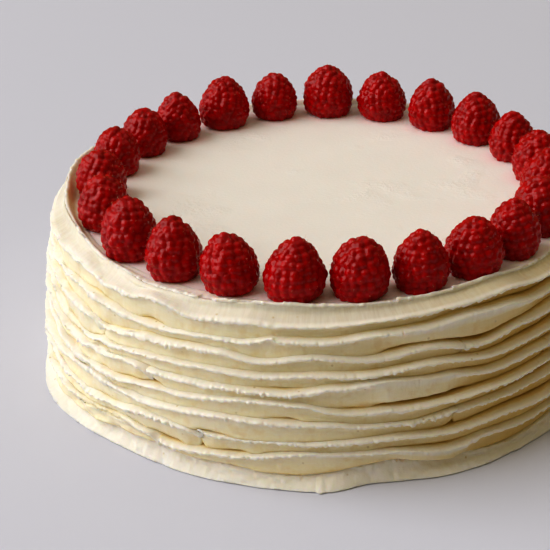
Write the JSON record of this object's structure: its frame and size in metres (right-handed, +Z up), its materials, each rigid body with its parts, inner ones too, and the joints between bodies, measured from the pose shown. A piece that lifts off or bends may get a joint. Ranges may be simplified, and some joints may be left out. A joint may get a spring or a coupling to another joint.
{
  "type": "raspberry cream cake",
  "caption": "Round uncut cream cake with piped ruffles round its side, a smooth top, and a ring of whole raspberries near the edge; food prop to stand on a plate.",
  "frame": {"origin": "centre of the flat underside, on the cake's own axis, where it rests on its plate", "axes": "+Z up through the smooth top; -Y is the side that faces the viewer in the picture, +X to the viewer's right"},
  "size_m": [0.2232, 0.2244, 0.0869],
  "materials": {
    "smooth_cream": "matte smoothed whipped cream, off-white",
    "piped_cream": "matte piped whipped cream, ivory, yellower in its grooves",
    "raspberry": "soft sheen on bright red drupelets"
  },
  "bodies": {
    "root": {"cake": "smooth_cream", "ruffled_cream": "piped_cream", "berry_01": "raspberry", "berry_02": "raspberry", "berry_03": "raspberry", "berry_04": "raspberry", "berry_05": "raspberry", "berry_06": "raspberry", "berry_07": "raspberry", "berry_08": "raspberry", "berry_09": "raspberry", "berry_10": "raspberry", "berry_11": "raspberry", "berry_12": "raspberry", "berry_13": "raspberry", "berry_14": "raspberry", "berry_15": "raspberry", "berry_16": "raspberry", "berry_17": "raspberry", "berry_18": "raspberry", "berry_19": "raspberry", "berry_20": "raspberry", "berry_21": "raspberry", "berry_22": "raspberry", "berry_23": "raspberry"}
  },
  "joints": []
}
